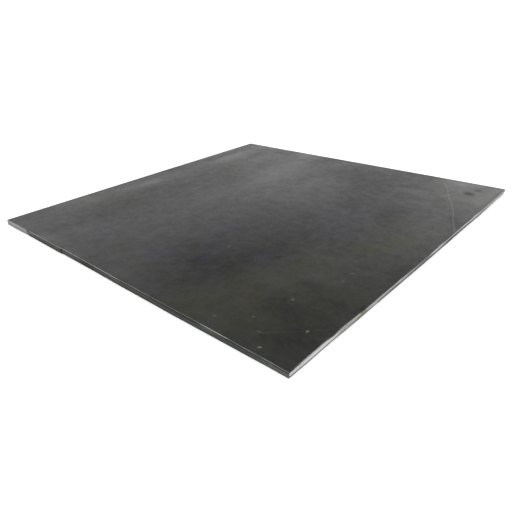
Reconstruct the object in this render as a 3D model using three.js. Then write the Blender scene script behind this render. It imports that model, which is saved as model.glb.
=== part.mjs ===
// Square hot-rolled steel plate, cut to size on a guillotine shear.
//
// One solid piece of stock, lying flat: +Z is up, the origin is at the middle
// of its underside, and its four cut edges face -Y, +X, +Y and -X. Millimetres.
//
// Each edge shows what a shear blade leaves on plate of this thickness. The
// arris that the blade entered is drawn down into a small roll, below it is a
// smooth upright land, and below that a rougher break that leans inwards to the
// underside. How deep the land goes changes along an edge, and the cut wanders
// a little, with small steps where the blade took its next bite.

import * as THREE from 'three';

// ---------------------------------------------------------------- dimensions
const SIZE_X = 600;              // across the plate, over its furthest points
const SIZE_Y = 600;
const THICKNESS = 8;             // rolled gauge, both skins flat and parallel
const POINT_SPACING = 12;        // distance between points along a cut edge

// Plan radius of each corner. The (+X, +Y) corner is a little blunt.
const CORNER_RADIUS = {
  minusXminusY: 0.6,
  plusXminusY: 0.7,
  plusXplusY: 5.0,
  minusXplusY: 1.4,
};

// How far a cut strays inwards (-) of a straight line over its furthest point,
// as [share of the edge's length, offset in mm]. Edges run anticlockwise seen
// from above, and the values between are eased.
const STRAY = {
  minusY: [
    [0.0, -0.35], [0.05, -0.1], [0.11, -0.5], [0.13, -0.4], [0.19, -0.18],
    [0.25, -0.1], [0.299, 0.0], [0.31, -1.0], [0.36, -0.9], [0.43, -0.95],
    [0.5, -0.6], [0.545, -0.25], [0.6, -0.35], [0.66, -0.25], [0.72, -0.15],
    [0.77, -0.4], [0.85, -0.75], [0.91, -0.97], [0.96, -1.25], [1.0, -1.1],
  ],
  plusX: [
    [0.0, -0.3], [0.05, -0.2], [0.1, -0.6], [0.13, -0.55], [0.155, -0.2],
    [0.2, -0.1], [0.25, -0.1], [0.3, 0.0], [0.45, 0.0], [0.5, -0.15],
    [0.6, -0.35], [0.65, -0.8], [0.7, -0.95], [0.75, -0.9], [0.8, -0.7],
    [0.85, -0.95], [0.9, -0.95], [0.94, -0.95], [1.0, -1.0],
  ],
  plusY: [
    [0.0, -1.3], [0.08, -0.95], [0.22, -0.3], [0.34, -0.2], [0.5, 0.0],
    [0.62, 0.0], [0.75, 0.0], [0.88, -0.05], [1.0, -0.25],
  ],
  minusX: [
    [0.0, -1.9], [0.1, -1.5], [0.3, -0.9], [0.5, -0.3], [0.75, -0.3],
    [0.9, 0.0], [1.0, 0.0],
  ],
};

// How far an edge's face leans back under the plate at the underside, as
// [share of the edge's length, mm], more than its section does.
const LEAN = {
  plusX: [[0.0, 0.0], [0.8, 0.0], [0.85, 0.45], [0.9, 1.2], [0.95, 1.7], [1.0, 1.3]],
};

// Sections of a cut edge: how far its face sits inside the outline at each
// height above the underside.
const HEIGHTS = [0, 0.4, 1.05, 1.4, 1.8, 3.7, 4.2, 5.2, 7.1, 7.6, 7.85, THICKNESS];
const SECTION = {
  // a full roll on top, a short land, and a long break
  rolled: [0.5, 0.42, 0.44, 0.42, 0.4, 0.22, 0.16, 0, 0.03, 0.22, 0.62, 1.4],
  // the blade's first bite, where the land runs the whole height
  fullLand: [0.2, 0.05, 0, 0, 0, 0, 0, 0, 0, 0.03, 0.1, 0.28],
  // a land nearly to the underside, then a groove and a lip
  deepLand: [0.85, 0.66, 0.52, 0.64, 0.24, 0.13, 0.1, 0.06, 0, 0.03, 0.1, 0.3],
  // a face that leans inwards the whole way down
  leaning: [0.68, 0.66, 0.6, 0.56, 0.52, 0.28, 0.23, 0.14, 0.02, 0.04, 0.12, 0.34],
  // a land over the upper half and a break below it
  halfLand: [0.85, 0.8, 0.76, 0.72, 0.66, 0.38, 0.1, 0.05, 0, 0.03, 0.1, 0.3],
};

// Which section an edge has, as [share of its length, section], each up to the
// next. A change from one to the next takes CHANGE_LENGTH.
const SECTIONS = {
  minusY: [[0, 'fullLand'], [0.115, 'rolled']],
  plusX: [[0, 'deepLand'], [0.155, 'leaning'], [0.281, 'halfLand']],
  plusY: [[0, 'rolled'], [0.9, 'fullLand']],
  minusX: [[0, 'halfLand'], [0.35, 'deepLand'], [0.5, 'halfLand'], [0.93, 'fullLand']],
};
const CHANGE_LENGTH = 3;

// Small damage on the top arris: [edge, share of its length, half width, depth]
const NICKS = [
  ['plusX', 0.237, 5.0, 0.6],
  ['plusX', 0.34, 2.6, 0.45],
  ['plusX', 0.715, 1.8, 0.3],
  ['minusY', 0.121, 1.6, 0.5],
  ['plusY', 0.41, 2.6, 0.4],
  ['minusX', 0.83, 2.0, 0.35],
];
const NICK_DEPTH_DOWN = 1.6;     // a nick fades out this far below the skin
const MITRE_REACH = 14;          // how far an edge is drawn along by its corner

// ------------------------------------------------------------------- helpers
const ease = (t) => t * t * (3 - 2 * t);
const clamp01 = (t) => Math.min(1, Math.max(0, t));

function along(knots, share) {
  for (let i = 1; i < knots.length; i++) {
    const [s1, v1] = knots[i];
    const [s0, v0] = knots[i - 1];
    if (share <= s1) return v0 + (v1 - v0) * ease((share - s0) / (s1 - s0));
  }
  return knots[knots.length - 1][1];
}

// Insets of an edge's section, at a share of its length.
function sectionOf(edge, share) {
  const insets = SECTION[SECTIONS[edge.name][0][1]].slice();
  for (const [at, name] of SECTIONS[edge.name].slice(1)) {
    const change = ease(clamp01((share - at) * edge.length / CHANGE_LENGTH + 0.5));
    for (let i = 0; i < insets.length; i++) {
      insets[i] += (SECTION[name][i] - insets[i]) * change;
    }
  }
  if (LEAN[edge.name]) {
    const lean = along(LEAN[edge.name], share);
    for (let i = 0; i < insets.length; i++) insets[i] += lean * (1 - HEIGHTS[i] / THICKNESS);
  }
  for (const [name, at, half, depth] of NICKS) {
    if (name !== edge.name) continue;
    const off = clamp01(Math.abs(share - at) * edge.length / half);
    for (let i = 0; i < insets.length; i++) {
      const down = clamp01((THICKNESS - HEIGHTS[i]) / NICK_DEPTH_DOWN);
      insets[i] += depth * (1 - ease(off)) * (1 - down);
    }
  }
  return insets;
}

// ----------------------------------------------------------- the four edges
const halfX = SIZE_X / 2;
const halfY = SIZE_Y / 2;

// start and dir give the line over the furthest points, out its outward side.
const edges = [
  { name: 'minusY', start: [-halfX, -halfY], dir: [1, 0], out: [0, -1],
    length: SIZE_X, endRadius: CORNER_RADIUS.plusXminusY },
  { name: 'plusX', start: [halfX, -halfY], dir: [0, 1], out: [1, 0],
    length: SIZE_Y, endRadius: CORNER_RADIUS.plusXplusY },
  { name: 'plusY', start: [halfX, halfY], dir: [-1, 0], out: [0, 1],
    length: SIZE_X, endRadius: CORNER_RADIUS.minusXplusY },
  { name: 'minusX', start: [-halfX, halfY], dir: [0, -1], out: [-1, 0],
    length: SIZE_Y, endRadius: CORNER_RADIUS.minusXminusY },
];

// Shares of an edge's length where a column of points is wanted.
function stations(edge) {
  const count = Math.round(edge.length / POINT_SPACING);
  const found = [];
  for (let i = 0; i <= count; i++) found.push(i / count);
  for (const [share] of STRAY[edge.name]) found.push(share);
  for (const [share] of SECTIONS[edge.name].slice(1)) {
    for (const k of [-0.5, 0, 0.5]) found.push(share + k * CHANGE_LENGTH / edge.length);
  }
  for (const [name, at, half] of NICKS) {
    if (name !== edge.name) continue;
    for (const k of [-1, -0.5, 0, 0.5, 1]) found.push(at + k * half / edge.length);
  }
  for (const d of [1.5, 4, 8]) found.push(d / edge.length, 1 - d / edge.length);
  found.sort((a, b) => a - b);
  // points closer than 0.8 mm to the one before are left out
  const kept = [];
  for (const s of found) {
    const last = kept.length ? kept[kept.length - 1] : -1;
    if (s === 1 || s === 0 || ((s - last) * edge.length > 0.8
      && (1 - s) * edge.length > 0.8)) {
      if (s !== last) kept.push(s);
    }
  }
  return kept;
}

// ------------------------------------------------- columns round the outline
// A column is a plan point on the outline, with the insets that move it inwards
// at each height: its own edge's, and near a corner those of the next edge too,
// so that the two faces meet in a mitre.
const columns = [];
edges.forEach((edge, k) => {
  const before = edges[(k + 3) % 4];
  const after = edges[(k + 1) % 4];
  const from = before.endRadius - along(STRAY[before.name], 1);
  const to = edge.length - edge.endRadius + along(STRAY[after.name], 0);
  const beforeInsets = sectionOf(before, 1);
  const afterInsets = sectionOf(after, 0);
  const place = (share) => {
    const d = from + (to - from) * share;
    const stray = along(STRAY[edge.name], share);
    return [edge.start[0] + edge.dir[0] * d + edge.out[0] * stray,
      edge.start[1] + edge.dir[1] * d + edge.out[1] * stray];
  };
  for (const share of stations(edge)) {
    const [x, y] = place(share);
    const shifts = [{ out: edge.out, insets: sectionOf(edge, share), weight: 1 }];
    const nearStart = 1 - share * (to - from) / MITRE_REACH;
    const nearEnd = 1 - (1 - share) * (to - from) / MITRE_REACH;
    if (nearStart > 0) {
      shifts.push({ out: before.out, insets: beforeInsets, weight: ease(nearStart) });
    }
    if (nearEnd > 0) {
      shifts.push({ out: after.out, insets: afterInsets, weight: ease(nearEnd) });
    }
    columns.push({ x, y, shifts });
  }
  // The rounded corner at the end of this edge, between its two tangent points.
  const r = edge.endRadius;
  const [lastX, lastY] = place(1);
  const centre = [lastX - edge.out[0] * r, lastY - edge.out[1] * r];
  const turns = Math.max(3, Math.round(r * 1.2) + 2);
  for (let i = 1; i < turns; i++) {
    const angle = i / turns * Math.PI / 2;
    columns.push({
      x: centre[0] + (edge.out[0] * Math.cos(angle) + after.out[0] * Math.sin(angle)) * r,
      y: centre[1] + (edge.out[1] * Math.cos(angle) + after.out[1] * Math.sin(angle)) * r,
      shifts: [{ out: edge.out, insets: sectionOf(edge, 1), weight: 1 },
        { out: after.out, insets: afterInsets, weight: 1 }],
    });
  }
});

// ------------------------------------------------------------- closed solid
const n = columns.length;
const positions = [];
HEIGHTS.forEach((z, level) => {
  for (const { x, y, shifts } of columns) {
    const point = [x, y];
    for (const { out, insets, weight } of shifts) {
      point[0] -= out[0] * insets[level] * weight;
      point[1] -= out[1] * insets[level] * weight;
    }
    positions.push(point[0], point[1], z);
  }
});

const triangles = [];
for (let level = 0; level + 1 < HEIGHTS.length; level++) {
  for (let i = 0; i < n; i++) {
    const j = (i + 1) % n;
    const a = level * n + i;
    const b = level * n + j;
    const c = a + n;
    const d = b + n;
    triangles.push(a, b, d, a, d, c);
  }
}

// Each flat skin: a central square, and a border of triangles from every
// outline point to the nearest corner of that square.
const CENTRE = [[-240, -240], [240, -240], [240, 240], [-240, 240]];

function skin(level, up) {
  const start = level * n;
  const centreAt = positions.length / 3;
  for (const [x, y] of CENTRE) positions.push(x, y, HEIGHTS[level]);
  const cornerOf = ({ x, y }) => (y < 0 ? (x < 0 ? 0 : 1) : (x < 0 ? 3 : 2));
  const faces = [[0, 1, 2], [0, 2, 3]].map((face) => face.map((i) => centreAt + i));
  for (let i = 0; i < n; i++) {
    const j = (i + 1) % n;
    const mine = centreAt + cornerOf(columns[i]);
    const next = centreAt + cornerOf(columns[j]);
    faces.push([start + i, start + j, mine]);
    if (next !== mine) faces.push([mine, start + j, next]);
  }
  for (const [a, b, c] of faces) {
    if (up) triangles.push(a, b, c);
    else triangles.push(a, c, b);
  }
}
skin(0, false);
skin(HEIGHTS.length - 1, true);

const geometry = new THREE.BufferGeometry();
geometry.setAttribute('position', new THREE.Float32BufferAttribute(positions, 3));
geometry.setIndex(triangles);
geometry.computeVertexNormals();

const plate = new THREE.Mesh(geometry, new THREE.MeshStandardMaterial({
  color: 0x3b3c3d,
  roughness: 0.45,
  metalness: 0.85,
}));
plate.name = 'steel_plate';

const part = new THREE.Group();
part.add(plate);

export default part;
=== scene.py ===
"""Square hot-rolled steel plate, 600 x 600 x 8 mm, lying on a pale studio floor.

The plate is one piece of stock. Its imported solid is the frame, and the finely
modelled plate made here replaces it: the same outline and the same cut-edge
sections, with the shear marks, break, burr and skin relief added as geometry.
"""
import math

import bpy
import numpy as np
from mathutils import Matrix, Vector


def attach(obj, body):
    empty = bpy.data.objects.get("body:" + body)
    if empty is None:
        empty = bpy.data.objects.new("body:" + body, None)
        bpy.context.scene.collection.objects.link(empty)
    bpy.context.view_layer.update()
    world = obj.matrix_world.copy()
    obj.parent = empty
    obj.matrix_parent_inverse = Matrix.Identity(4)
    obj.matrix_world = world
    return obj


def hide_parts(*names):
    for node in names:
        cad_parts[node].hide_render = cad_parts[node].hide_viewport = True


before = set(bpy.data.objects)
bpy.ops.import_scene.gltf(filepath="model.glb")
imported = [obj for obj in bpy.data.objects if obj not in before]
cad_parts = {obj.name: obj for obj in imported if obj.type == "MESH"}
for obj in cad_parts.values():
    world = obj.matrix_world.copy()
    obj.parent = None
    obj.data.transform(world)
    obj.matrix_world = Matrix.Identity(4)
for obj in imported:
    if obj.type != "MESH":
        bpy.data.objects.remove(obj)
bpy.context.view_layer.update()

MM = 0.001
T = 8.0                  # plate thickness, mm
HALF = 300.0

# --------------------------------------------------------------------------
# small seeded noises in numpy, for geometry and painted attributes
# --------------------------------------------------------------------------


def lattice(seed, n):
    return np.random.RandomState(seed).uniform(-1.0, 1.0, n)


def noise1(x, pitch, seed):
    """Smooth noise in -1..1 along x, one lattice value every pitch."""
    t = np.asarray(x, float) / pitch + 1000.0
    i = np.floor(t).astype(int)
    f = t - i
    f = f * f * (3 - 2 * f)
    v = lattice(seed, 4096)
    return v[i % 4096] * (1 - f) + v[(i + 1) % 4096] * f


def noise2(x, y, pitch_x, pitch_y, seed):
    """Smooth noise in -1..1 over a plane."""
    tx = np.asarray(x, float) / pitch_x + 1000.0
    ty = np.asarray(y, float) / pitch_y + 1000.0
    ix, iy = np.floor(tx).astype(int), np.floor(ty).astype(int)
    fx, fy = tx - ix, ty - iy
    fx, fy = fx * fx * (3 - 2 * fx), fy * fy * (3 - 2 * fy)
    v = lattice(seed, 512 * 512).reshape(512, 512)

    def at(a, b):
        return v[(ix + a) % 512, (iy + b) % 512]

    return (at(0, 0) * (1 - fx) + at(1, 0) * fx) * (1 - fy) + (
        at(0, 1) * (1 - fx) + at(1, 1) * fx
    ) * fy


def fractal(x, y, pitch_x, pitch_y, seed, octaves=4, gain=0.5):
    total, size, amount = 0.0, 0.0, 1.0
    for k in range(octaves):
        total = total + amount * noise2(x, y, pitch_x / 2**k, pitch_y / 2**k, seed + k)
        size += amount
        amount *= gain
    return total / size


def ease(t):
    t = np.clip(t, 0.0, 1.0)
    return t * t * (3 - 2 * t)


def along(knots, share):
    """Eased value of [share, value] knots."""
    share = np.asarray(share, float)
    xs = np.array([k[0] for k in knots])
    vs = np.array([k[1] for k in knots])
    i = np.clip(np.searchsorted(xs, share, side="right") - 1, 0, len(xs) - 2)
    t = ease((share - xs[i]) / (xs[i + 1] - xs[i]))
    return vs[i] + (vs[i + 1] - vs[i]) * t


# --------------------------------------------------------------------------
# outline and sections of the cut edges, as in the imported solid
# --------------------------------------------------------------------------
# Edges run anticlockwise seen from above: -Y, +X, +Y, -X.
START = [(-HALF, -HALF), (HALF, -HALF), (HALF, HALF), (-HALF, HALF)]
DIR = [(1.0, 0.0), (0.0, 1.0), (-1.0, 0.0), (0.0, -1.0)]
OUT = [(0.0, -1.0), (1.0, 0.0), (0.0, 1.0), (-1.0, 0.0)]
CORNER_RADIUS = [0.7, 5.0, 1.4, 0.6]     # at the end of each edge
STRAY = [
    [[0.0, -0.35], [0.05, -0.1], [0.11, -0.5], [0.13, -0.4], [0.19, -0.18],
     [0.25, -0.1], [0.299, 0.0], [0.31, -1.0], [0.36, -0.9], [0.43, -0.95],
     [0.5, -0.6], [0.545, -0.25], [0.6, -0.35], [0.66, -0.25], [0.72, -0.15],
     [0.77, -0.4], [0.85, -0.75], [0.91, -0.97], [0.96, -1.25], [1.0, -1.1]],
    [[0.0, -0.3], [0.05, -0.2], [0.1, -0.6], [0.13, -0.55], [0.155, -0.2],
     [0.2, -0.1], [0.25, -0.1], [0.3, 0.0], [0.45, 0.0], [0.5, -0.15],
     [0.6, -0.35], [0.65, -0.8], [0.7, -0.95], [0.75, -0.9], [0.8, -0.7],
     [0.85, -0.95], [0.9, -0.95], [0.94, -0.95], [1.0, -1.0]],
    [[0.0, -1.3], [0.08, -0.95], [0.22, -0.3], [0.34, -0.2], [0.5, 0.0],
     [0.62, 0.0], [0.75, 0.0], [0.88, -0.05], [1.0, -0.25]],
    [[0.0, -1.9], [0.1, -1.5], [0.3, -0.9], [0.5, -0.3], [0.75, -0.3],
     [0.9, 0.0], [1.0, 0.0]],
]
# The +X face leans back under the plate towards its +Y end.
LEAN = [None, [[0.0, 0.0], [0.8, 0.0], [0.85, 0.45], [0.9, 1.2], [0.95, 1.7], [1.0, 1.3]],
        None, None]
CAD_HEIGHTS = [0, 0.4, 1.05, 1.4, 1.8, 3.7, 4.2, 5.2, 7.1, 7.6, 7.85, T]
SECTION = {
    "rolled": [0.5, 0.42, 0.44, 0.42, 0.4, 0.22, 0.16, 0, 0.03, 0.22, 0.62, 1.4],
    "fullLand": [0.2, 0.05, 0, 0, 0, 0, 0, 0, 0, 0.03, 0.1, 0.28],
    "deepLand": [0.85, 0.66, 0.52, 0.64, 0.24, 0.13, 0.1, 0.06, 0, 0.03, 0.1, 0.3],
    "leaning": [0.68, 0.66, 0.6, 0.56, 0.52, 0.28, 0.23, 0.14, 0.02, 0.04, 0.12, 0.34],
    "halfLand": [0.85, 0.8, 0.76, 0.72, 0.66, 0.38, 0.1, 0.05, 0, 0.03, 0.1, 0.3],
}
SECTIONS = [
    [[0, "fullLand"], [0.115, "rolled"]],
    [[0, "deepLand"], [0.155, "leaning"], [0.281, "halfLand"]],
    [[0, "rolled"], [0.9, "fullLand"]],
    [[0, "halfLand"], [0.35, "deepLand"], [0.5, "halfLand"], [0.93, "fullLand"]],
]
CHANGE_LENGTH = 3.0
NICKS = [
    (1, 0.237, 5.0, 0.6), (1, 0.34, 2.6, 0.45), (1, 0.715, 1.8, 0.3),
    (0, 0.121, 1.6, 0.5), (2, 0.41, 2.6, 0.4), (3, 0.83, 2.0, 0.35),
]
NICK_DEPTH_DOWN = 1.6
MITRE_REACH = 14.0
SPACING = 0.72           # between columns of points along a cut edge
HEIGHTS = np.array([0.0, 0.16, 0.4, 0.75, 1.05, 1.4, 1.8, 2.7, 3.7, 4.2, 5.2, 6.3,
                    7.1, 7.4, 7.65, 7.83, 7.94, T])
SHOULDER = [0.5, 1.1, 2.6]   # rings of the upper skin in from its arris
LEVELS = len(HEIGHTS)
RINGS = LEVELS + len(SHOULDER)
LEVEL_Z = np.r_[HEIGHTS, [T] * len(SHOULDER)]
ROUND = {                # insets of the top arris at the last five heights
    "rolled": [0.09, 0.25, 0.52, 0.9, 1.4],
    "fullLand": [0.01, 0.03, 0.08, 0.16, 0.28],
    "deepLand": [0.01, 0.03, 0.08, 0.16, 0.3],
    "leaning": [0.03, 0.05, 0.11, 0.2, 0.34],
    "halfLand": [0.01, 0.03, 0.08, 0.16, 0.3],
}


def section(name):
    """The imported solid's section at the heights used here, with its top arris
    rounded where the solid has it in straight steps."""
    insets = np.interp(HEIGHTS, CAD_HEIGHTS, SECTION[name])
    insets[-5:] = ROUND[name]
    return np.r_[insets, insets[-1] + np.array(SHOULDER)]


def section_of(k, share):
    """Insets of edge k's section at these shares of its length: (shares, levels)."""
    share = np.atleast_1d(np.asarray(share, float))
    insets = np.repeat(section(SECTIONS[k][0][1])[None, :], len(share), 0)
    for at, name in SECTIONS[k][1:]:
        change = ease((share - at) * 600.0 / CHANGE_LENGTH + 0.5)[:, None]
        insets = insets + (section(name)[None, :] - insets) * change
    if LEAN[k]:
        insets = insets + along(LEAN[k], share)[:, None] * (1 - LEVEL_Z / T)[None, :]
    for edge, at, half, depth in NICKS:
        if edge == k:
            off = np.clip(np.abs(share - at) * 600.0 / half, 0, 1)
            down = np.clip((T - LEVEL_Z) / NICK_DEPTH_DOWN, 0, 1)
            insets = insets + depth * (1 - ease(off))[:, None] * (1 - down)[None, :]
    return insets


class Columns:
    """The plan points round the outline, with each level's move inwards."""

    def __init__(self):
        self.xy, self.move, self.out, self.edge, self.share = [], [], [], [], []

    def add(self, xy, move, out, edge, share):
        self.xy.append(xy)
        self.move.append(move)
        self.out.append(out)
        self.edge.append(np.full(len(xy), edge))
        self.share.append(share)

    def join(self):
        for name in ("xy", "move", "out", "edge", "share"):
            setattr(self, name, np.concatenate(getattr(self, name)))


cols = Columns()
for k in range(4):
    before, after = (k + 3) % 4, (k + 1) % 4
    lo = CORNER_RADIUS[before] - STRAY[before][-1][1]
    hi = 600.0 - CORNER_RADIUS[k] + STRAY[after][0][1]
    out, d_out = np.array(OUT[k]), np.array(DIR[k])
    count = int(round((hi - lo) / SPACING))
    share = np.linspace(0, 1, count + 1)
    d = lo + (hi - lo) * share
    stray = along(STRAY[k], share)
    xy = np.array(START[k]) + d[:, None] * d_out + stray[:, None] * out
    move = section_of(k, share)[:, :, None] * out
    near = ease(1 - share * (hi - lo) / MITRE_REACH)
    move = move + near[:, None, None] * section_of(before, 1)[0][None, :, None] * np.array(OUT[before])
    near = ease(1 - (1 - share) * (hi - lo) / MITRE_REACH)
    move = move + near[:, None, None] * section_of(after, 0)[0][None, :, None] * np.array(OUT[after])
    cols.add(xy, move, np.repeat(out[None, :], len(share), 0), k, share)
    r = CORNER_RADIUS[k]
    centre = xy[-1] - out * r
    turns = max(5, int(round(r * math.pi / 2 / 0.4)))
    t = np.arange(1, turns) / turns
    a = t * math.pi / 2
    o = np.cos(a)[:, None] * out + np.sin(a)[:, None] * np.array(OUT[after])
    move = section_of(k, 1)[0][:, None] * out + section_of(after, 0)[0][:, None] * np.array(OUT[after])
    cols.add(centre + o * r, np.repeat(move[None], len(t), 0), o, k, np.ones(len(t)))
cols.join()
n = len(cols.xy)

# Relief of the cut faces, always inwards of the section above. S runs round the
# outline; the shear's marks are upright on the land and lean on the break.
S = np.cumsum(np.r_[0, np.hypot(*(np.diff(cols.xy, axis=0).T))])[:, None]
Z = LEVEL_Z[None, :]
lean = S + 0.45 * Z
striae = 0.5 + 0.5 * noise2(lean, Z * 0 + 3.0, 1.55, 50.0, 11)
striae = striae + 0.7 * (0.5 + 0.5 * noise2(lean, Z * 0, 5.3, 50.0, 17))
rough = np.abs(fractal(S, Z, 3.4, 1.7, 23, 3))
skin_free = ease(Z / 0.6) * ease((T - Z) / 0.7)
below = ease((5.0 - Z) / 1.2)
relief = (0.045 * striae * (1 - 0.6 * below) + 0.13 * rough * (0.25 + 0.75 * below)) * skin_free
P = np.zeros((RINGS, n, 3))
for j in range(RINGS):
    P[j, :, :2] = cols.xy - cols.move[:, j] - cols.out * relief[:, j:j + 1]
    P[j, :, 2] = LEVEL_Z[j]
verts = P.reshape(-1, 3)
quads = []
for j in range(RINGS - 1):
    a = j * n + np.arange(n)
    b = j * n + (np.arange(n) + 1) % n
    quads.append(np.c_[a, b, b + n, a + n])
walls = np.concatenate(quads)


def skin(ring, base, cells, z):
    """A grid of cells x cells quads inset from the outline, whose points are
    numbered from base, and a band of triangles from it to the ring of outline
    points. Faces turn anticlockwise seen from above."""
    edge = HALF - 9.0
    g = np.linspace(-edge, edge, cells + 1)
    gx, gy = np.meshgrid(g, g, indexing="ij")
    grid = np.c_[gx.ravel(), gy.ravel(), np.full(gx.size, z)]

    def at(i, j):
        return base + i * (cells + 1) + j

    i, j = np.meshgrid(np.arange(cells), np.arange(cells), indexing="ij")
    i, j = i.ravel(), j.ravel()
    q = np.c_[at(i, j), at(i + 1, j), at(i + 1, j + 1), at(i, j + 1)]
    e = np.arange(cells)
    loop = np.r_[at(e, 0), at(cells, e), at(cells - e, cells), at(0, cells - e)]

    def turn(p):
        """Position round the plate, 0 to 4, anticlockwise from (-X, -Y)."""
        m = np.maximum(np.abs(p[:, 0]), np.abs(p[:, 1]))
        u, v = p[:, 0] / m, p[:, 1] / m
        south, east, north = v <= -1 + 1e-9, u >= 1 - 1e-9, v >= 1 - 1e-9
        t = 3 + (1 - v) / 2
        t = np.where(north & (u > -1 + 1e-9), 2 + (1 - u) / 2, t)
        t = np.where(east & (v < 1 - 1e-9), 1 + (1 + v) / 2, t)
        return np.where(south & (u < 1 - 1e-9), (u + 1) / 2, t) % 4.0

    to, ti = turn(P[RINGS - 1 if ring else 0][:, :2]), turn(grid[loop - base])
    start = int(np.argmin(to))
    order = (np.arange(n) + start) % n
    to = np.maximum.accumulate(to[order])
    ring0 = (RINGS - 1) * n if ring else 0
    m = len(loop)
    a = b = 0
    tris = []
    while a < n or b < m:
        ta = to[a + 1] if a + 1 < n else 4 + to[0]
        tb = ti[b + 1] if b + 1 < m else 4 + ti[0]
        if b >= m or (a < n and ta <= tb):
            tris.append((ring0 + order[a], ring0 + order[(a + 1) % n], loop[b % m]))
            a += 1
        else:
            tris.append((ring0 + order[a % n], loop[(b + 1) % m], loop[b]))
            b += 1
    return grid, q, np.array(tris)


top_at = len(verts)
top_grid, top_q, top_t = skin(True, top_at, 140, T)
bot_at = top_at + len(top_grid)
bot_grid, bot_q, bot_t = skin(False, bot_at, 52, 0.0)
verts = np.concatenate([verts, top_grid, bot_grid])

# The skins' slight unevenness, always inwards, and nothing at the outline.
for at, grid, sign, seed in ((top_at, top_grid, -1, 41), (bot_at, bot_grid, 1, 71)):
    x, y = grid[:, 0], grid[:, 1]
    border = ease((HALF - 9.0 - np.maximum(np.abs(x), np.abs(y))) / 14.0)
    wave = 0.5 + 0.5 * fractal(x, y, 130.0, 170.0, seed, 3)
    fine = 0.5 + 0.5 * fractal(x, y, 22.0, 30.0, seed + 9, 2)
    verts[at:at + len(grid), 2] += sign * border * (0.05 * wave + 0.012 * fine)

mesh = bpy.data.meshes.new("plate_mesh")
parts = [walls, top_q, top_t, bot_q[:, ::-1], bot_t[:, ::-1]]
face_list = [tuple(map(int, f)) for part in parts for f in part]
n_walls, n_top = (LEVELS - 1) * n, len(walls) + len(top_q) + len(top_t)
mesh.from_pydata([tuple(v) for v in (verts * MM)], [], face_list)
mesh.update()
plate = bpy.data.objects.new("plate", mesh)
bpy.context.scene.collection.objects.link(plate)
mesh.polygons.foreach_set("use_smooth", [True] * len(mesh.polygons))
mesh.set_sharp_from_angle(angle=math.radians(34))

# --------------------------------------------------------------------------
# what the skins and the cut edges look like from place to place
# --------------------------------------------------------------------------
def blob(x, y, cx, cy, rx, ry, turn=0.0):
    """A soft patch, 1 at its middle, of these radii, turned by degrees."""
    a = math.radians(turn)
    u = (x - cx) * math.cos(a) + (y - cy) * math.sin(a)
    v = -(x - cx) * math.sin(a) + (y - cy) * math.cos(a)
    return np.exp(-((u / rx) ** 2 + (v / ry) ** 2))


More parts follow.
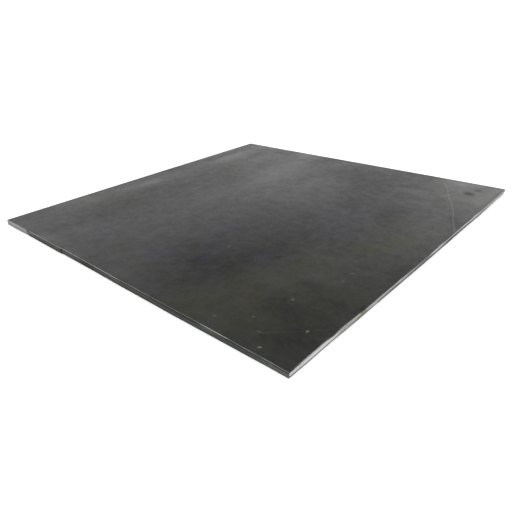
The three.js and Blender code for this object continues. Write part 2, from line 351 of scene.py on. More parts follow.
# Patches of the upper skin, each (amount, x, y, radius, radius, turn) in mm and
# degrees. Clouds are lighter and glossier, or darker and duller, scale; most run
# along Y, the rolling direction. Stains tint it: 1 is olive, -1 is violet.
CLOUDS = [
    # the long bands of the rolling direction
    (-0.62, 140, 70, 88, 330, 0),
    (0.42, -88, 40, 60, 330, 0),
    (-0.30, -188, -40, 42, 190, 0),
    (0.45, -262, 120, 26, 330, 0),
    (-0.20, 262, -40, 45, 230, 0),
    # far side, F to R
    (0.75, -253, 178, 14, 44, -4),
    (0.35, -262, 268, 12, 34, 6),
    (-0.50, -212, 228, 9, 34, 8),
    (0.30, -180, 200, 20, 60, 18),
    (0.35, -160, 255, 12, 20, 25),
    (-0.30, -152, 185, 10, 22, 10),
    (0.55, -98, 205, 26, 44, 12),
    (0.70, -82, 125, 34, 44, 20),
    (0.30, -110, 280, 20, 24, 0),
    (-0.95, -50, 292, 24, 14, 0),
    (-0.40, -58, 255, 16, 26, 15),
    (-0.55, 60, 250, 85, 42, 0),
    (-0.30, 0, 212, 10, 24, 10),
    (-0.45, 158, 222, 22, 6, 4),
    (-0.30, 75, 208, 30, 14, -10),
    (0.55, 175, 196, 26, 10, 0),
    (0.95, 235, 268, 30, 34, 20),
    (0.70, 283, 226, 14, 32, 0),
    (0.50, 235, 205, 22, 22, 30),
    (-0.25, 278, 288, 10, 6, -30),
    (-0.50, 120, 285, 50, 12, 0),
    # the strips beside the -X and +Y edges
    (0.60, -291, -205, 7, 38, 0),
    (-0.60, -291, 38, 8, 30, 0),
    (0.62, -292, 185, 8, 80, 0),
    (-0.50, -274, -24, 8, 20, 0),
    (-0.28, -273, 75, 9, 60, 0),
    (-0.38, -269, 262, 7, 20, 0),
    (0.40, -250, 284, 9, 9, 0),
    (0.65, -232, 292, 26, 8, 0),
    (0.65, -182, 294, 18, 7, 0),
    (-0.38, -172, 272, 26, 9, 0),
    (0.45, -120, 283, 20, 12, 0),
    (-0.25, -80, 262, 20, 12, 0),
    (0.35, 98, 280, 34, 16, 0),
    (0.45, 208, 284, 44, 15, 0),
    (0.80, 289, 276, 9, 30, 0),
    (0.40, 296, 230, 8, 60, 0),
    (0.30, -60, -296, 330, 9, 0),
    (0.20, -170, -290, 55, 14, 0),
    (0.30, 25, -289, 20, 10, 0),
    (0.25, 262, -292, 18, 7, 0),
    # the middle
    (-0.45, -146, 76, 20, 22, 0),
    (0.25, -22, 55, 26, 22, 20),
    (0.35, 12, 130, 26, 46, 20),
    (0.30, 45, 60, 40, 60, 30),
    (-0.55, 198, 90, 22, 42, 15),
    (-0.20, 118, 104, 22, 26, 0),
    (-0.35, 90, 5, 30, 18, 20),
    (0.20, 215, 150, 14, 30, 20),
    (-0.45, 288, 112, 5, 28, 22),
    (0.25, 268, 60, 20, 60, 0),
    (-0.30, -215, -48, 12, 24, 0),
    (0.85, -258, -30, 13, 22, 4),
    (0.45, -260, -75, 11, 36, 0),
    (0.22, -105, -20, 22, 30, 0),
    (-0.55, 110, -60, 26, 42, 10),
    (-0.30, 215, -55, 36, 34, 0),
    # near side, L to N
    (-0.30, -195, -130, 30, 16, 0),
    (0.55, -272, -154, 22, 9, -6),
    (0.50, -288, -178, 9, 30, 0),
    (0.25, -265, -205, 22, 34, 0),
    (0.45, -152, -232, 16, 40, -22),
    (1.00, -176, -294, 24, 12, 20),
    (0.85, -98, -297, 24, 9, 8),
    (0.30, -35, -168, 12, 16, 0),
    (0.35, -30, -262, 14, 36, -18),
    (0.70, 8, -287, 14, 12, 0),
    (-0.30, -58, -232, 10, 12, 0),
    (-0.35, -52, -282, 10, 16, -20),
    (-0.35, -190, -262, 14, 12, 30),
    (-0.35, 48, -60, 40, 60, 0),
    (-0.80, 108, -186, 30, 34, 20),
    (-0.60, 125, -112, 26, 26, 0),
    (-0.50, 60, -205, 34, 30, 0),
    (-0.35, 25, -178, 24, 14, 0),
    (-0.35, 92, -250, 26, 18, 0),
    (0.45, 178, -182, 18, 26, 10),
    (0.45, 175, -282, 30, 20, 0),
    (0.35, 235, -138, 40, 10, 3),
    (-0.70, 226, -167, 17, 9, -4),
    (-0.85, 228, -226, 24, 15, 0),
    (-0.60, 278, -256, 22, 16, 12),
    (-0.45, 262, -195, 36, 26, 0),
    (-0.30, 205, -205, 14, 14, 0),
    # broad corrections
    (-0.45, 75, -160, 70, 80, 0),
    (-0.42, 268, -170, 50, 130, 0),
    (0.28, -268, -90, 30, 110, 0),
    (0.28, -90, -255, 100, 50, 0),
    (0.28, -230, 180, 50, 60, 0),
    (-0.35, 95, 170, 50, 50, 0),
    (-0.22, 155, -40, 40, 60, 0),
    (-0.45, 292, -60, 15, 40, 0),
    (0.30, 262, 225, 34, 60, 0),
    (0.22, -20, 45, 40, 50, 0),
    (-0.50, -280, 160, 12, 90, 0),
    (-0.30, 20, 230, 60, 40, 0),
    (0.22, -235, -250, 60, 50, 0),
    (-0.30, 262, -262, 30, 30, 0),
    # smaller ones
    (-0.35, -200, 235, 9, 12, 0),
    (-0.40, -180, 272, 12, 12, 0),
    (-0.30, -270, 200, 6, 80, 0),
    (0.25, -230, 162, 22, 24, 0),
    (0.20, -150, 115, 16, 20, 0),
    (-0.28, -92, 112, 24, 15, -20),
    (-0.30, -52, 62, 14, 16, 0),
    (-0.40, -14, 165, 12, 26, 0),
    (-0.30, -105, 255, 11, 14, 0),
    (-0.30, -264, 66, 10, 6, 0),
    (-0.50, 38, 295, 14, 8, 0),
    (0.35, 212, 292, 22, 10, 0),
    (0.35, 290, 200, 10, 18, 0),
    (-0.55, 183, 213, 13, 8, 0),
    (-0.35, 208, 196, 14, 8, 0),
    (-0.30, 40, 200, 30, 16, 0),
    (0.20, 85, 228, 13, 14, 0),
    (-0.40, 25, 112, 9, 9, 0),
    (-0.45, 118, 80, 9, 22, 30),
    (-0.35, 204, 54, 16, 22, 0),
    (-0.30, 205, 5, 14, 10, 0),
    (-0.40, 288, 120, 9, 22, 12),
    (-0.35, -265, -113, 9, 10, 0),
    (0.28, -245, -42, 9, 14, 0),
    (0.25, -245, -148, 13, 8, 0),
    (-0.40, -50, -115, 9, 10, 0),
    (-0.40, -100, -248, 9, 18, 0),
    (-0.35, -58, -240, 20, 14, 0),
    (0.35, -150, -260, 10, 9, 0),
    (0.28, -160, -286, 30, 12, 0),
    (0.25, -42, -205, 20, 10, 0),
    (-0.65, 117, -155, 13, 12, 0),
    (-0.60, 144, -138, 13, 11, 0),
    (-0.30, 155, -112, 10, 18, 0),
    (-0.50, 118, -194, 9, 9, 0),
    (-0.40, 98, -226, 15, 16, 0),
    (-0.35, 14, -178, 13, 10, 0),
    (-0.50, 290, -82, 11, 9, 0),
    (-0.70, 291, -226, 12, 9, 0),
    (-0.40, 290, -262, 14, 7, 0),
    (0.35, 185, -240, 22, 20, 0),
    (0.40, 260, -190, 15, 12, 0),
    (0.35, 250, 286, 45, 9, 0),
    (0.35, 262, 203, 9, 10, 0),
    (-0.35, 38, 100, 12, 34, 10),
    (-0.45, 68, 14, 11, 11, 0),
    (-0.30, 138, 62, 8, 44, 0),
    (-0.35, -60, 266, 14, 12, 0),
    (0.45, -244, -288, 16, 10, 0),
    (-0.30, -178, -186, 9, 40, 0),
    (-0.55, 46, -158, 13, 20, 0),
    (-0.50, 66, -210, 18, 12, 0),
    (-0.50, 108, -137, 18, 9, 0),
    (-0.45, 142, -194, 12, 10, 0),
    (-0.45, 136, -40, 9, 30, 0),
    (0.40, 136, -256, 16, 20, 0),
    (0.30, 192, -284, 10, 14, 0),
    (0.45, 253, -290, 9, 10, 0),
    (-0.35, 250, -230, 13, 9, 0),
    (-0.35, 178, -206, 9, 8, 0),
    (0.30, 94, -27, 14, 9, 0),
    (0.30, -14, -155, 10, 13, 0),
    (0.28, -190, 155, 14, 14, 0),
]
STAINS = [
    (0.42, 252, -165, 62, 150, 0),
    (0.52, 195, -225, 44, 54, 0),
    (0.45, 150, -285, 46, 30, 10),
    (0.45, 190, -120, 22, 30, 0),
    (0.85, 232, -36, 20, 15, 10),
    (0.60, 200, -52, 24, 14, 10),
    (0.80, 266, 8, 22, 22, 20),
    (0.35, 225, 40, 28, 60, 0),
    (0.35, 222, 215, 16, 36, 10),
    (0.20, 270, 230, 40, 60, 0),
    (0.45, -262, -125, 26, 22, 20),
    (0.38, -200, -118, 30, 18, -10),
    (0.20, -230, -160, 40, 30, 0),
    (0.22, -190, 110, 30, 50, 20),
    (0.18, -235, 240, 20, 20, 0),
    (-0.60, 165, -8, 18, 16, 0),
    (-0.40, 140, 45, 32, 40, -20),
    (-0.65, 28, -110, 28, 24, 0),
    (-0.90, 130, -138, 13, 15, 0),
    (-0.90, 76, -198, 14, 15, 0),
    (-0.45, 8, -225, 18, 14, 0),
    (-0.40, -118, -232, 30, 10, -20),
    (-0.25, 15, 250, 20, 30, 0),
    (-0.25, 60, -160, 30, 20, 0),
    (0.40, 150, -195, 22, 44, 12),
    (0.30, 182, -118, 18, 26, 20),
    (0.25, 120, -262, 24, 30, 0),
    (0.22, -250, -140, 40, 28, 0),
    (0.22, -278, 120, 14, 60, 0),
    (-0.08, -40, 20, 190, 190, 0),
]
# Warmth, the scale's red against its green: 1 is brown, -1 is green.
WARMTH = [
    (1.00, 165, -222, 26, 20, 10),
    (0.60, 196, -252, 18, 12, 0),
    (0.90, 240, -33, 11, 10, 0),
    (0.50, 225, -80, 12, 16, 0),
    (-0.80, 266, -222, 16, 42, 8),
    (-0.60, 276, -116, 9, 20, 0),
    (-0.60, 236, -290, 26, 8, 0),
    (-0.40, 145, -262, 10, 12, 0),
    (0.50, 60, -158, 16, 9, 0),
    (0.40, 168, -66, 10, 30, -15),
    (0.70, -256, -130, 14, 16, 0),
    (0.40, -198, -122, 30, 24, 0),
    (0.50, -188, 100, 36, 26, 20),
    (0.30, 205, 205, 40, 18, 0),
    (-0.40, 105, 62, 22, 18, 0),
]

# A mottled warp, so that no patch has a smooth outline.
vx, vy, vz = verts[:, 0], verts[:, 1], verts[:, 2]
wx = vx + 9.0 * fractal(vx, vy, 46.0, 60.0, 101, 4, 0.6)
wy = vy + 9.0 * fractal(vx, vy, 46.0, 60.0, 131, 4, 0.6)
above = vz > T / 2


def painted(patches, seed, under):
    """The upper skin's patches, and plain bands and clouds on the underside."""
    value = sum(amount * blob(wx, wy, *place) for amount, *place in patches)
    plain = under * (fractal(vx, vy, 60.0, 420.0, seed, 3)
                     + fractal(vx, vy, 70.0, 90.0, seed + 7, 3))
    return np.where(above, value, plain)


cloud = painted(CLOUDS, 151, 0.8)
stain = painted(STAINS, 171, 0.35)
warmth = painted(WARMTH, 191, 0.2)

# The cut edges, by share of each edge's length. bare: how bright the sheared land
# is. land: the height its lower boundary comes down to. torn: how bright the break
# is. Along most of the -Y edge bare and torn are kept very low, as painted shade.
# scale: how far mill scale comes over the top arris. rim, rim_in: how far the
# roll is rubbed to bare metal, and how far in from the outline the rub lies.
BARE = [
    [[0, 0.25], [0.11, 0.28], [0.125, 0.02], [0.3, 0.01], [0.42, 0.005], [0.55, 0.03],
     [0.78, 0.02], [0.82, 0.07], [0.87, 0.03], [1, 0.03]],
    [[0, 0.48], [0.12, 0.5], [0.145, 0.28], [0.2, 0.32], [0.213, 0.15], [0.222, 0.15],
     [0.23, 0.32], [0.35, 0.3], [0.48, 0.1], [0.52, 0.42], [0.6, 0.2], [0.66, 0.36],
     [0.77, 0.36], [0.82, 0.16], [0.9, 0.18], [1, 0.25]],
    [[0, 0.05], [0.3, 0.04], [0.6, 0.055], [0.84, 0.045], [0.885, 0.06], [0.894, 0.11],
     [0.903, 0.24], [0.915, 0.3], [0.95, 0.27], [1, 0.25]],
    [[0, 0.4], [0.2, 0.3], [0.33, 0.33], [0.42, 0.48], [0.52, 0.36], [0.7, 0.25],
     [0.85, 0.33], [1, 0.3]],
]
LAND = [
    [[0, 6.3], [0.112, 6.1], [0.122, 5.3], [0.5, 5.0], [1, 5.4]],
    [[0, 2.2], [0.15, 2.2], [0.157, 4.1], [0.33, 4.2], [0.37, 3.8], [0.48, 4.2],
     [0.57, 3.8], [0.61, 5.2], [0.66, 5.1], [0.8, 4.1], [0.86, 2.6], [0.92, -1.0],
     [1, -1.0]],
    [[0, 5.2], [0.5, 5.5], [0.89, 5.1], [0.905, 6.2], [1, 6.0]],
    [[0, 3.8], [0.2, 4.2], [0.345, 3.8], [0.352, 1.75], [0.497, 1.75], [0.503, 4.1],
     [0.8, 3.6], [1, 4.0]],
]
TORN = [
    [[0, 0.18], [0.11, 0.2], [0.14, 0.02], [0.21, 0.005], [0.24, 0.02], [0.34, 0.03],
     [0.39, 0.005], [0.43, 0.005], [0.46, 0.03], [0.6, 0.03], [0.82, 0.05], [0.9, 0.05],
     [1, 0.11]],
    [[0, 0.05], [0.04, 0.11], [0.12, 0.05], [0.15, 0.1], [0.16, 0.28], [0.21, 0.15],
     [0.26, 0.35], [0.28, 0.16], [0.34, 0.08], [0.37, 0.14], [0.47, 0.035], [0.55, 0.08],
     [0.62, 0.01], [0.7, 0.09], [1, 0.16]],
    [[0, 0.08], [0.3, 0.06], [0.55, 0.085], [0.87, 0.065], [0.887, 0.09], [0.896, 0.13],
     [0.906, 0.19], [0.93, 0.22], [0.97, 0.2], [1, 0.17]],
    [[0, 0.11], [0.35, 0.11], [0.36, 0.25], [0.49, 0.25], [0.5, 0.1], [1, 0.11]],
]
SCALE_OVER = [
    [[0, 0.1], [1, 0.2]],
    [[0, 1.6], [0.05, 0.7], [0.09, 0.8], [0.12, 1.9], [0.15, 0.4], [0.2, 0.4], [0.215, 2.1],
     [0.24, 1.5], [0.29, 0.8], [0.34, 1.1], [0.35, 0.4], [0.4, 1.3], [0.47, 1.7],
     [0.53, 0.7], [0.7, 0.8], [0.85, 0.6], [1, 0.5]],
    [[0, 0.2], [0.5, 0.35], [0.87, 0.2], [0.889, 1.2], [0.9, 0.9], [0.91, 0.15], [1, 0.3]],
    [[0, 0.9], [0.2, 1.2], [0.4, 0.5], [0.6, 1.0], [0.8, 0.7], [1, 1.0]],
]
RIM = [
    [[0, 0.4], [0.06, 0.7], [0.11, 0.4], [0.13, 0.1], [0.15, 0.9], [0.25, 0.5], [0.36, 0.7],
     [0.41, 0.4], [0.45, 0.8], [0.52, 0.75], [0.57, 0.25], [0.61, 0.5], [0.66, 0.25],
     [0.79, 0.25], [0.81, 0.8], [0.85, 0.75], [0.88, 0.25], [1, 0.25]],
    [[0, 0], [0.05, 0.3], [0.09, 0.3], [0.12, 0], [0.15, 0.3], [0.18, 0.1], [0.21, 0],
     [0.53, 0], [0.55, 0.3], [0.58, 0], [0.74, 0], [0.77, 0.4], [0.8, 0.1], [1, 0.15]],
    [[0, 0.3], [0.25, 0.5], [0.4, 0.25], [0.6, 0.6], [0.75, 0.4], [0.9, 0.2], [1, 0.1]],
    [[0, 0.1], [1, 0.1]],
]
RIM_IN = [
    [[0, 0.5], [0.15, 1.3], [0.3, 1.3], [0.5, 1.0], [0.62, 1.5], [0.78, 1.4], [0.85, 0.9],
     [0.93, 0.4], [1, 0.1]],
    [[0, 0.3], [1, 0.3]],
    [[0, 1.2], [1, 1.0]],
    [[0, 0.3], [1, 0.3]],
]
# Films on the cut steel, as its red and its blue against its green: a faint olive one
# on the dark lengths of -Y, a brown length and a straw stain on +X.
RED = [
    [[0, 1.0], [0.14, 1.0], [0.2, 0.95], [1, 0.95]],
    [[0, 1.0], [0.33, 1.0], [0.38, 1.05], [0.48, 1.05], [0.55, 1.0], [1, 1.0]],
    [[0, 1.0], [1, 0.97]],
    [[0, 1.0], [1, 1.01]],
]
BLUE = [
    [[0, 1.0], [0.14, 1.0], [0.2, 0.9], [1, 0.9]],
    [[0, 0.98], [0.19, 0.98], [0.2, 0.8], [0.225, 0.8], [0.235, 0.98], [1, 0.98]],
    [[0, 1.0], [1, 0.95]],
    [[0, 1.0], [0.5, 0.97], [1, 1.0]],
]
# Painted shade, which takes some of the shine seen at a glance off the dark lengths.
SHINE_SHADE = [
    [[0, 0], [0.12, 0], [0.16, 0.7], [0.22, 0.8], [0.3, 0.5], [0.33, 0], [0.385, 0],
     [0.4, 1.0], [0.435, 1.0], [0.47, 0.6], [0.52, 0], [1, 0]],
    [[0, 0], [1, 0]],
    [[0, 0.4], [0.87, 0.4], [0.9, 0], [1, 0]],
    [[0, 0], [1, 0]],
]


def per_column(knots):
    """Each column's value from the four edges' knots."""
    value = np.zeros(n)
    for k in range(4):
        mine = cols.edge == k
        value[mine] = along(knots[k], cols.share[mine])
    return value


def on_walls(values, rest=0.0):
    """Values by ring and column, and one value for the skins' grids."""
    return np.concatenate([np.broadcast_to(values, (RINGS, n)).ravel(),
                           np.full(len(verts) - RINGS * n, rest)])


ragged = noise1(S[:, 0], 2.3, 31) * 0.5 + noise1(S[:, 0], 7.0, 32) * 0.5
inset = np.zeros((RINGS, n))
for k in range(4):
    mine = cols.edge == k
    inset[:, mine] = section_of(k, cols.share[mine]).T
fields = {
    "cloud": cloud,
    "stain": stain,
    "warmth": warmth,
    "red": on_walls(per_column(RED)),
    "blue": on_walls(per_column(BLUE)),
    "shine_shade": on_walls(per_column(SHINE_SHADE)),
    "bare": on_walls(per_column(BARE)),
    "land": on_walls(per_column(LAND) + 0.25 * ragged),
    "torn": on_walls(per_column(TORN)),
    "scale": on_walls(T - per_column(SCALE_OVER) * (1 + 0.25 * ragged)),
    "rim": on_walls(per_column(RIM) * (1 + 0.2 * ragged)),
    "rim_in": on_walls(per_column(RIM_IN)),
    "inset": on_walls(inset, 12.0),
}
for name, values in fields.items():
    layer = mesh.attributes.new(name, "FLOAT", "POINT")
    layer.data.foreach_set("value", np.ascontiguousarray(values, dtype=np.float32))


# --------------------------------------------------------------------------
# materials
# --------------------------------------------------------------------------
class Shader:
    """A node material round one Principled shader, in short calls."""

    def __init__(self, name):
        self.material = bpy.data.materials.new(name)
        self.material.use_nodes = True
        self.tree = self.material.node_tree
        self.out = self.tree.nodes["Principled BSDF"]
        coordinates = self.tree.nodes.new("ShaderNodeTexCoord")
        scale = self.tree.nodes.new("ShaderNodeVectorMath")
        scale.operation = "SCALE"
        scale.inputs["Scale"].default_value = 1000.0
        self.tree.links.new(coordinates.outputs["Object"], scale.inputs[0])
        self.mm = scale.outputs[0]           # position on the plate in mm

    def put(self, socket, value):
        if isinstance(value, bpy.types.NodeSocket):
            self.tree.links.new(value, socket)
        else:
            socket.default_value = value

    def math(self, operation, a, b=0.0, c=0.0, clamp=False):
        node = self.tree.nodes.new("ShaderNodeMath")
        node.operation, node.use_clamp = operation, clamp
        for socket, value in zip(node.inputs, (a, b, c)):
            self.put(socket, value)
        return node.outputs[0]

    def total(self, *values):
        value = values[0]
        for other in values[1:]:
            value = self.math("ADD", value, other)
        return value

    def vector(self, operation, a, b=(0, 0, 0)):
        node = self.tree.nodes.new("ShaderNodeVectorMath")
        node.operation = operation
        self.put(node.inputs[0], a)
        self.put(node.inputs[1], b)
        return node.outputs["Value" if operation in ("DOT_PRODUCT", "DISTANCE", "LENGTH")
                            else "Vector"]

    def split(self, vector):
        node = self.tree.nodes.new("ShaderNodeSeparateXYZ")
        self.put(node.inputs[0], vector)
        return node.outputs

    def combine(self, x, y, z):
        node = self.tree.nodes.new("ShaderNodeCombineXYZ")
        for socket, value in zip(node.inputs, (x, y, z)):
            self.put(socket, value)
        return node.outputs[0]

    def remap(self, value, lo, hi, to_lo=0.0, to_hi=1.0, smooth=True):
        node = self.tree.nodes.new("ShaderNodeMapRange")
        node.interpolation_type = "SMOOTHSTEP" if smooth else "LINEAR"
        for socket, number in zip(node.inputs, (value, lo, hi, to_lo, to_hi)):
            self.put(socket, number)
        return node.outputs[0]

    def noise(self, pitch, detail=2.0, rough=0.5, vector=None, stretch=None, seed=0.0):
        """Fractal noise about 0, roughly -1 to 1, with features of this pitch in mm."""
        vector = self.mm if vector is None else vector
        if stretch is not None:
            vector = self.vector("MULTIPLY", vector, stretch)
        if seed:
            vector = self.vector("ADD", vector, (seed * 37.1, seed * 91.7, seed * 13.3))
        node = self.tree.nodes.new("ShaderNodeTexNoise")
        node.inputs["Scale"].default_value = 1.0 / pitch
        node.inputs["Detail"].default_value = detail
        node.inputs["Roughness"].default_value = rough
        self.put(node.inputs["Vector"], vector)
        return self.math("MULTIPLY_ADD", node.outputs["Fac"], 3.0, -1.5)

    def attribute(self, name):
        node = self.tree.nodes.new("ShaderNodeAttribute")
        node.attribute_name = name
        return node.outputs["Fac"]

    def ramp(self, value, stops):
        node = self.tree.nodes.new("ShaderNodeValToRGB")
        while len(node.color_ramp.elements) < len(stops):
            node.color_ramp.elements.new(0.5)
        for element, (at, colour) in zip(node.color_ramp.elements, stops):
            element.position = at
            element.color = (*colour, 1.0)
        self.put(node.inputs[0], value)
        return node.outputs["Color"]

    def mix(self, share, a, b, kind="MIX"):
        node = self.tree.nodes.new("ShaderNodeMix")
        node.data_type, node.blend_type = "RGBA", kind
        self.put(node.inputs["Factor"], share)
        for socket, value in ((node.inputs[6], a), (node.inputs[7], b)):
            self.put(socket, (*value, 1.0) if isinstance(value, tuple) else value)
        return node.outputs[2]

    def colour(self, red, green, blue):
        node = self.tree.nodes.new("ShaderNodeCombineColor")
        for socket, value in zip(node.inputs, (red, green, blue)):
            self.put(socket, value)
        return node.outputs[0]

    def grey(self, value):
        return self.colour(value, value, value)

    def line(self, a, b, width, fade=0.5):
        """1 on the straight line a to b (mm, in plan), 0 beyond width / 2."""
        ax, ay = a
        length = math.hypot(b[0] - ax, b[1] - ay)
        ux, uy = (b[0] - ax) / length, (b[1] - ay) / length
        along_ = self.math("ADD", self.vector("DOT_PRODUCT", self.mm, (ux, uy, 0.0)),
                           -(ax * ux + ay * uy))
        off = self.math("ADD", self.vector("DOT_PRODUCT", self.mm, (-uy, ux, 0.0)),
                        ax * uy - ay * ux)
        past = self.math("MAXIMUM", self.math("MULTIPLY", along_, -1.0),
                         self.math("ADD", along_, -length))
        past = self.math("MAXIMUM", past, 0.0)
        distance = self.math("SQRT", self.math("ADD", self.math("MULTIPLY", off, off),
                                               self.math("MULTIPLY", past, past)))
        return self.remap(distance, width * 0.5 * (1 - fade), width * 0.5 * (1 + fade), 1.0, 0.0)

    def spot(self, x, y, rx, ry, turn=0.0, ragged=None):
        """1 at a soft spot on the skin, 0 beyond about its radii (mm, degrees)."""
        cx, sy = math.cos(math.radians(turn)), math.sin(math.radians(turn))
        u = self.math("ADD", self.vector("DOT_PRODUCT", self.mm, (cx / rx, sy / rx, 0.0)),
                      -(x * cx + y * sy) / rx)
        v = self.math("ADD", self.vector("DOT_PRODUCT", self.mm, (-sy / ry, cx / ry, 0.0)),
                      (x * sy - y * cx) / ry)
        off = self.math("SQRT", self.math("ADD", self.math("MULTIPLY", u, u),
                                          self.math("MULTIPLY", v, v)))
        if ragged is not None:
            off = self.math("ADD", off, ragged)
        return self.remap(off, 0.2, 1.25, 1.0, 0.0)

    def rubbed(self):
        """1 along the rub on the upper arris, which lies rim_in in from the outline."""
        wander = self.noise(3.1, 2.0, 0.6, seed=21)
        off = self.math("SUBTRACT", self.attribute("inset"), self.attribute("rim_in"))
        off = self.math("ABSOLUTE", self.math("MULTIPLY_ADD", wander, 0.14, off))
        on = self.remap(off, 0.05, RUB_WIDTH, 1.0, 0.0)
        on = self.math("MULTIPLY", on, self.remap(self.split(self.mm)[2], 7.0, 7.3))
        gain = self.math("MULTIPLY", self.attribute("rim"),
                         self.math("MULTIPLY_ADD", self.noise(6.0, 2.0, 0.6, seed=22), 0.5, 1.0))
        return self.math("MULTIPLY", on, gain, clamp=True)

    def bump(self, height, distance, strength=1.0):
        """height in mm."""
        node = self.tree.nodes.new("ShaderNodeBump")
        node.inputs["Strength"].default_value = strength
        node.inputs["Distance"].default_value = distance
        self.put(node.inputs["Height"], height)
        return node.outputs[0]


RUB_WIDTH = 0.5          # half width of the rub on the upper arris, mm
RUBBED = (0.62, 0.66, 0.63)

# The skin: mill scale, near black, semi-gloss, cloudy, with faint tempering tints.
# Marks on it: an arc rubbed by a sling, a light scratch by the +X -Y corner, small
# mineral specks (x, y, radius, radius, turn, strength), and soft dark smudges.
ARC = [(201, 275), (213, 256.5), (227, 228), (234.5, 212.5), (245, 194), (257.5, 170),
       (268, 149), (277, 126), (286, 104.5), (295, 86), (299, 76)]
SCRATCH = [
    (0.80, 0.12, [(238, -271), (245.8, -265)]),
    (0.80, 0.07, [(245.8, -265), (254.6, -258), (266.8, -246), (273, -240.3)]),
    (0.70, 0.06, [(276.5, -237), (290.5, -224), (299, -215)]),
]
FAINT = [(0.9, 0.07, [(-281, 281), (-273, 272)]), (0.9, 0.06, [(-266, 263), (-257, 254)])]
SPECKS = [
    (72.8, -147.4, 2.6, 3.4, 0, 0.14),
    (227.1, -201.0, 2.5, 3.0, 40, 0.17),
    (275.9, -239.1, 1.9, 2.4, 0, 0.40),
    (254.9, -288.5, 2.6, 1.6, 40, 0.40),
    (237.2, -270.0, 2.0, 2.6, 40, 0.12),
    (215.1, -253.7, 2.1, 1.9, 45, 0.18),
    (248.3, -110.2, 4.0, 2.6, 60, 0.11),
    (250.0, -132.9, 3.4, 2.8, 40, 0.09),
    (155.8, -129.6, 2.8, 1.7, 40, 0.055),
    (173.3, -251.0, 2.2, 1.8, 0, 0.035),
    (180.6, -278.2, 2.9, 3.2, 0, 0.10),
    (50.5, -241.3, 2.6, 2.2, 0, 0.035),
    (-32.5, -164.2, 5.5, 3.2, 40, 0.030),
    (231.4, 219.0, 3.0, 5.0, 25, 0.12),
]
SMUDGES = [
    (256.0, 241.5, 9.5, 9.0, 30, -2.0),
    (264.5, 264.5, 9.0, 7.0, 35, -1.1),
    (263.0, 236.0, 8.0, 6.0, 40, -0.6),
    (269.0, 252.0, 8.0, 6.0, 40, 0.7),
    (148.0, -131.8, 5.0, 2.2, 20, -0.9),
    (219.0, -205.5, 4.5, 4.5, 30, -0.8),
    (216.0, -187.3, 13.0, 3.2, 4, 0.45),
    (298.0, -169.0, 4.0, 6.5, 0, -1.2),
]
s = Shader("mill_scale")
x_mm, y_mm, z_mm = s.split(s.mm)
broad = s.noise(85.0, 4.0, 0.55, stretch=(1.0, 0.6, 1.0))
mottle = s.noise(17.0, 4.0, 0.65, seed=3)
fleck = s.noise(8.0, 3.0, 0.6, seed=15)
grain = s.noise(4.0, 3.0, 0.75, seed=5)
fine = s.noise(0.9, 2.0, 0.6, seed=17)
# fainter grain towards the +X -Y corner
grain_gain = s.remap(s.math("SUBTRACT", x_mm, y_mm), -60.0, 420.0, 0.58, 0.38)
c = s.total(s.attribute("cloud"), s.math("MULTIPLY", broad, 0.32),
            s.math("MULTIPLY", mottle, 0.72), s.math("MULTIPLY", grain, grain_gain),
            s.math("MULTIPLY", fine, 0.36),
            s.math("MULTIPLY", s.math("MINIMUM", fleck, 0.15), 0.42))
for x, y, rx, ry, turn, amount in SMUDGES:
    c = s.math("MULTIPLY_ADD", s.spot(x, y, rx, ry, turn), amount, c)
tint = s.total(s.attribute("stain"),
               s.math("MULTIPLY", s.noise(38.0, 3.0, 0.6, seed=8), 0.27),
               s.math("MULTIPLY", s.noise(10.0, 3.0, 0.6, seed=9), 0.40))
tint_colour = s.ramp(s.math("MULTIPLY_ADD", tint, 0.3125, 0.5, clamp=True),
                     [(0.0, (1.22, 1.0, 1.80)), (0.25, (1.03, 1.0, 1.42)), (0.5, (1.0, 1.0, 1.0)),
                      (0.68, (0.97, 1.02, 0.72)), (0.82, (1.0, 1.0, 0.46)), (1.0, (1.20, 1.0, 0.20))])
level = s.math("MULTIPLY", s.math("MULTIPLY_ADD", c, 0.30, 1.0), 0.0294)
level = s.math("MAXIMUM", level, 0.004)
rust = s.math("MULTIPLY_ADD", s.noise(12.0, 3.0, 0.6, seed=16), 0.045,
              s.math("MULTIPLY", s.attribute("warmth"), 0.035))   # red against green
base = s.mix(1.0, s.grey(level), tint_colour, "MULTIPLY")
base = s.mix(1.0, base, s.colour(s.math("ADD", rust, 1.0), s.math("MULTIPLY_ADD", rust, -0.5, 1.0), 1.0),
             "MULTIPLY")
scuffs = 0.0
worn = [(2.3, 0.16, ARC)] + SCRATCH + FAINT
for width, gain, points in worn:
    for a, b in zip(points[:-1], points[1:]):
        scuffs = s.math("MAXIMUM", scuffs, s.math("MULTIPLY", s.line(a, b, width), gain))
patchy = s.remap(s.noise(7.0, 3.0, 0.7, seed=12), -0.35, 0.3, 0.25, 1.0)
scuffs = s.math("MULTIPLY", scuffs, patchy)
crumbs = s.math("MULTIPLY_ADD", s.noise(1.5, 3.0, 0.7, seed=18), 0.62, 0.02)
for x, y, rx, ry, turn, gain in SPECKS:
    scuffs = s.math("MAXIMUM", scuffs,
                    s.math("MULTIPLY", s.spot(x, y, rx, ry, turn, crumbs), gain))
scuffs = s.math("MULTIPLY", scuffs, s.remap(z_mm, 7.5, 7.8))
base = s.mix(scuffs, base, (0.33, 0.335, 0.315))
base = s.mix(s.rubbed(), base, RUBBED)
s.put(s.out.inputs["Base Color"], base)
s.out.inputs["Metallic"].default_value = 1.0
s.put(s.out.inputs["Roughness"], s.math("MINIMUM", s.math("MAXIMUM", s.math("MULTIPLY_ADD", c, -0.075, 0.42), 0.2), 0.7))
s.put(s.out.inputs["Normal"], s.bump(s.total(s.math("MULTIPLY", grain, 0.4), s.math("MULTIPLY", mottle, 0.6)), 0.00002))
mesh.materials.append(s.material)
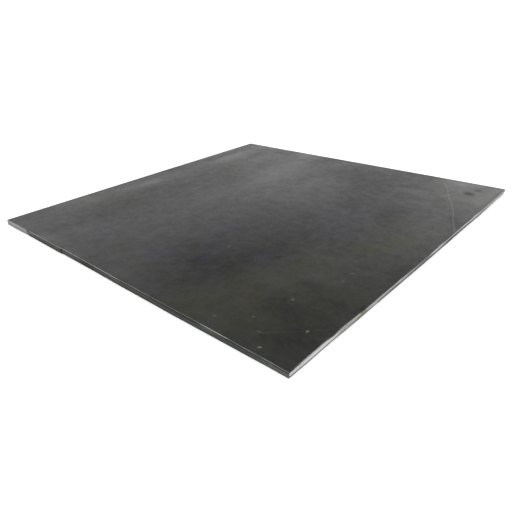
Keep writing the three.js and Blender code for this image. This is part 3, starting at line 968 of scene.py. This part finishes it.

# The cut edges: bright land, duller break, dark oxide on the rolled pair, with painted shade darkening most of the -Y
# edge further.
e = Shader("cut_steel")
x_mm, y_mm, z_mm = e.split(e.mm)
run = e.math("ADD", x_mm, y_mm)              # distance along any of the four edges
upright = e.combine(run, 0.0, e.math("MULTIPLY", z_mm, 0.08))
slanted = e.combine(e.math("MULTIPLY_ADD", z_mm, 0.55, run), 0.0, e.math("MULTIPLY", z_mm, 0.2))
scores = e.noise(1.1, 2.0, 0.7, vector=upright)
hatch = e.noise(1.5, 1.0, 0.5, vector=slanted, seed=2)
patches = e.noise(11.0, 3.0, 0.6, seed=4)
torn_noise = e.noise(1.8, 3.0, 0.65, seed=6)
at_height = e.math("MULTIPLY_ADD", torn_noise, 0.25, z_mm)
on_land = e.remap(e.math("SUBTRACT", at_height, e.attribute("land")), -0.35, 0.35)
land_level = e.math("MULTIPLY", e.attribute("bare"),
                    e.total(1.0, e.math("MULTIPLY", scores, 0.20), e.math("MULTIPLY", patches, 0.12)))
torn_level = e.math("MULTIPLY", e.attribute("torn"),
                    e.total(1.0, e.math("MULTIPLY", hatch, 0.35), e.math("MULTIPLY", torn_noise, 0.30)))
level = e.total(e.math("MULTIPLY", land_level, on_land),
                e.math("MULTIPLY", torn_level, e.math("SUBTRACT", 1.0, on_land)))
# Painted shade: each cut face is darker over its lowest 1.3 mm, where it meets the floor.
level = e.math("MULTIPLY", level, e.remap(z_mm, 0.0, 1.3, 0.3, 1.0))
scaled = e.remap(e.math("SUBTRACT", at_height, e.attribute("scale")), -0.45, 0.35)
level = e.total(e.math("MULTIPLY", level, e.math("SUBTRACT", 1.0, scaled)),
                e.math("MULTIPLY", scaled, 0.035))
level = e.math("MAXIMUM", level, 0.002)
base = e.colour(e.math("MULTIPLY", level, e.attribute("red")), level,
                e.math("MULTIPLY", level, e.attribute("blue")))
base = e.mix(e.rubbed(), base, RUBBED)
e.put(e.out.inputs["Base Color"], base)
e.out.inputs["Metallic"].default_value = 1.0
# Painted shade: less tint of shine on the darkened lengths of the -Y and +Y edges.
shine = e.math("MULTIPLY_ADD", e.attribute("shine_shade"), -0.14, 0.8)
e.put(e.out.inputs["Specular Tint"],
      e.colour(e.math("MULTIPLY_ADD", e.attribute("red"), 0.2, shine, clamp=True),
               e.math("ADD", shine, 0.2),
               e.math("MULTIPLY_ADD", e.attribute("blue"), 0.2, shine, clamp=True)))
e.put(e.out.inputs["Roughness"], e.total(0.5, e.math("MULTIPLY", on_land, -0.14), e.math("MULTIPLY", patches, 0.04)))
e.put(e.out.inputs["Normal"], e.bump(e.total(e.math("MULTIPLY", scores, 0.4), e.math("MULTIPLY", torn_noise, e.math("SUBTRACT", 1.0, on_land))), 0.00004))
mesh.materials.append(e.material)

slots = np.zeros(len(mesh.polygons), np.int32)
slots[:n_walls] = 1
mesh.polygons.foreach_set("material_index", slots)

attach(plate, "root")
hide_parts("steel_plate")

# --------------------------------------------------------------------------
# studio: floor, light, camera
# --------------------------------------------------------------------------
floor_mesh = bpy.data.meshes.new("floor_mesh")
F = 12.0
floor_mesh.from_pydata([(-F, -F, 0), (F, -F, 0), (F, F, 0), (-F, F, 0)], [], [(0, 1, 2, 3)])
floor = bpy.data.objects.new("floor", floor_mesh)
bpy.context.scene.collection.objects.link(floor)
floor.location.z = -0.0002
fm = bpy.data.materials.new("floor_pale")
fm.use_nodes = True
p = fm.node_tree.nodes["Principled BSDF"]
p.inputs["Base Color"].default_value = (0.9, 0.9, 0.9, 1)
p.inputs["Roughness"].default_value = 0.9
p.inputs["Specular IOR Level"].default_value = 0.1
p.inputs["Emission Color"].default_value = (1, 1, 1, 1)
p.inputs["Emission Strength"].default_value = 0.36
floor_mesh.materials.append(fm)

# An even white room, brighter low down beyond the +Y side.
world = bpy.data.worlds.new("studio")
bpy.context.scene.world = world
world.use_nodes = True
tree = world.node_tree
bg = tree.nodes["Background"]
direction = tree.nodes.new("ShaderNodeTexCoord")
parts_of = tree.nodes.new("ShaderNodeSeparateXYZ")
tree.links.new(direction.outputs["Generated"], parts_of.inputs[0])


def world_range(value, lo, hi, to_lo, to_hi):
    node = tree.nodes.new("ShaderNodeMapRange")
    node.interpolation_type = "SMOOTHSTEP"
    tree.links.new(value, node.inputs[0])
    for socket, number in zip(list(node.inputs)[1:5], (lo, hi, to_lo, to_hi)):
        socket.default_value = number
    return node.outputs[0]


toward = world_range(parts_of.outputs["Y"], 0.62, 0.98, 0.0, 1.0)
low = world_range(parts_of.outputs["Z"], 0.35, 0.75, 1.0, 0.0)
both = tree.nodes.new("ShaderNodeMath")
both.operation = "MULTIPLY"
tree.links.new(toward, both.inputs[0])
tree.links.new(low, both.inputs[1])
strength = tree.nodes.new("ShaderNodeMath")
strength.operation = "MULTIPLY_ADD"
tree.links.new(both.outputs[0], strength.inputs[0])
strength.inputs[1].default_value = 0.6
strength.inputs[2].default_value = 1.1
tree.links.new(strength.outputs[0], bg.inputs["Strength"])
bg.inputs["Color"].default_value = (1, 1, 1, 1)

scene = bpy.context.scene
scene.view_settings.view_transform = "Standard"
scene.view_settings.look = "None"
scene.view_settings.exposure = 0.0
scene.view_settings.gamma = 1.0

cam_data = bpy.data.cameras.new("camera")
cam = bpy.data.objects.new("camera", cam_data)
scene.collection.objects.link(cam)
az, el, roll = math.radians(43.3691), math.radians(27.1572), math.radians(-2.9280)
target = Vector((0.11162, -0.13516, 0.0))
back = Vector((math.sin(az) * math.cos(el), -math.cos(az) * math.cos(el), math.sin(el)))
right = (-back).cross(Vector((0, 0, 1))).normalized()
up = right.cross(-back)
m = Matrix((right * math.cos(roll) + up * math.sin(roll),
            up * math.cos(roll) - right * math.sin(roll), back)).transposed().to_4x4()
m.translation = target + back * 0.65220
cam.matrix_world = m
cam_data.sensor_width = 36.0
cam_data.sensor_fit = "HORIZONTAL"
cam_data.lens = 33.456
cam_data.clip_start = 0.01
cam_data.clip_end = 100.0
scene.camera = cam
